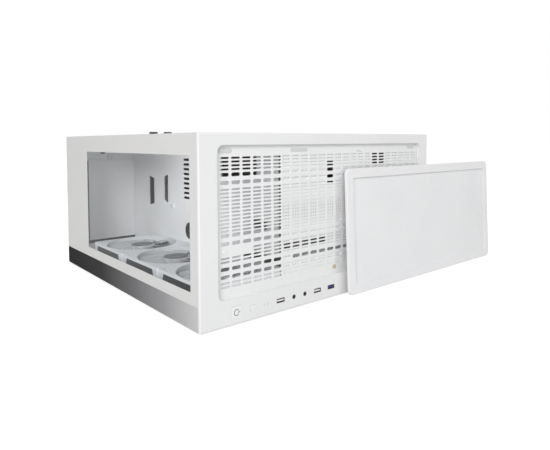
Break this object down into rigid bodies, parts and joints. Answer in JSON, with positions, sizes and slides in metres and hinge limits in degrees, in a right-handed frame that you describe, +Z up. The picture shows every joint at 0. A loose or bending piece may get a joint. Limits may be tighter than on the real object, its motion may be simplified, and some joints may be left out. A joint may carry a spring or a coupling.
{
  "type": "nas enclosure",
  "caption": "Low white desktop storage enclosure with a glazed side, slotted front, floor fans, drive cage with lift-out trays, and a dust filter leaning on its front.",
  "frame": {"origin": "centre of the case's footprint on the surface it stands on", "axes": "+Z up; the slotted front faces -Y; +X is to the right seen from the front"},
  "size_m": [0.644, 0.4882, 0.246],
  "materials": {
    "black_rubber": "matt",
    "black_steel": "matt black",
    "board_green": "solder mask",
    "brass_steel": "plated",
    "dark_plastic": "fine matt",
    "fan_plastic": "satin",
    "foam": "matt foam",
    "glass_clear": "polished",
    "glass_print": "smooth ceramic print",
    "inside_steel": "satin powder coat",
    "lens_clear": "milky",
    "magnet": "nickel plated",
    "mesh_white": "fine nylon mesh",
    "plain_steel": "zinc plated",
    "plate_grey": "satin",
    "port_blue": "smooth",
    "port_steel": "nickel",
    "port_white": "smooth",
    "screen_white": "matt powder coat, finely perforated",
    "skirt_gloss": "gloss",
    "white_plastic": "satin",
    "white_shell": "satin powder coat",
    "white_steel": "fine matt powder coat"
  },
  "bodies": {
    "case": {"base_tray": "inside_steel", "feet": "black_rubber", "front_bezel": "white_shell", "front_grille": "white_steel", "grille_screws": "white_steel", "filter_keeper": "brass_steel", "blank_plates": "plate_grey", "grille_screen": "screen_white", "io_board": "board_green", "io_posts": "plain_steel", "usb_shells": "port_steel", "usb2_tongues": "port_white", "usb3_tongue": "port_blue", "audio_jacks": "dark_plastic", "led_lenses": "lens_clear", "switches": "dark_plastic", "pane_gasket": "foam", "side_frame": "inside_steel", "stud_clips": "black_rubber", "intake_skirt": "skirt_gloss", "fan_rail_left": "inside_steel", "fan_rail_right": "inside_steel", "fan_frame_1": "fan_plastic", "fan_frame_2": "fan_plastic", "fan_frame_3": "fan_plastic", "fan_strips": "dark_plastic", "fan_screws": "plain_steel", "inner_wall": "inside_steel", "tie_point": "white_steel", "grommet": "black_rubber", "rear_panel": "inside_steel", "supply_bracket": "black_steel", "supply_plate": "inside_steel", "rear_tab": "white_steel", "rear_thumbscrew": "black_steel", "card_covers": "white_steel", "card_screws": "plain_steel", "right_panel": "white_shell", "side_screws": "plain_steel", "drive_cage": "inside_steel", "backplane": "board_green", "board_standoffs": "brass_steel"},
    "side_panel": {"glass_pane": "glass_clear", "glass_border": "glass_print", "pane_studs": "plain_steel"},
    "cover": {"top_cover": "white_shell", "cover_knobs": "black_steel"},
    "power_key": {"power_button": "white_plastic"},
    "reset_key": {"reset_button": "white_plastic"},
    "filter": {"filter_frame": "white_plastic", "filter_mesh": "mesh_white", "filter_magnets": "magnet"},
    "rotor_1": {"fan_rotor_1": "fan_plastic"},
    "rotor_2": {"fan_rotor_2": "fan_plastic"},
    "rotor_3": {"fan_rotor_3": "fan_plastic"},
    "tray_1": {"drive_tray_1": "white_steel"},
    "tray_2": {"drive_tray_2": "white_steel"},
    "tray_3": {"drive_tray_3": "white_steel"},
    "tray_4": {"drive_tray_4": "white_steel"},
    "tray_5": {"drive_tray_5": "white_steel"}
  },
  "joints": [
    {"name": "rotor_1_spin", "type": "hinge", "parent": "case", "child": "rotor_1", "pos_m": [-0.1555, -0.171, 0.0286], "axis": [0, 0, 1], "continuous": true},
    {"name": "rotor_2_spin", "type": "hinge", "parent": "case", "child": "rotor_2", "pos_m": [-0.1555, -0.051, 0.0286], "axis": [0, 0, 1], "continuous": true},
    {"name": "rotor_3_spin", "type": "hinge", "parent": "case", "child": "rotor_3", "pos_m": [-0.1555, 0.069, 0.0286], "axis": [0, 0, 1], "continuous": true},
    {"name": "power_press", "type": "slide", "parent": "case", "child": "power_key", "axis": [0, 1, 0], "range_m": [0, 0.0015], "stiffness_N_per_m": 600, "springref_m": -0.001},
    {"name": "reset_press", "type": "slide", "parent": "case", "child": "reset_key", "axis": [0, 1, 0], "range_m": [0, 0.0015], "stiffness_N_per_m": 600, "springref_m": -0.001},
    {"name": "side_panel_pull", "type": "slide", "parent": "case", "child": "side_panel", "axis": [-1, 0, 0], "range_m": [0, 0.06]},
    {"name": "cover_lift", "type": "slide", "parent": "case", "child": "cover", "axis": [0, 0, 1], "range_m": [0, 0.04]},
    {"name": "tray_1_lift", "type": "slide", "parent": "case", "child": "tray_1", "axis": [0, 0, 1], "range_m": [0, 0.1]},
    {"name": "tray_2_lift", "type": "slide", "parent": "case", "child": "tray_2", "axis": [0, 0, 1], "range_m": [0, 0.1]},
    {"name": "tray_3_lift", "type": "slide", "parent": "case", "child": "tray_3", "axis": [0, 0, 1], "range_m": [0, 0.1]},
    {"name": "tray_4_lift", "type": "slide", "parent": "case", "child": "tray_4", "axis": [0, 0, 1], "range_m": [0, 0.1]},
    {"name": "tray_5_lift", "type": "slide", "parent": "case", "child": "tray_5", "axis": [0, 0, 1], "range_m": [0, 0.1]},
    {"name": "filter_shift", "type": "slide", "parent": "case", "child": "filter", "axis": [1, 0, 0], "range_m": [-0.2158, 0]}
  ]
}
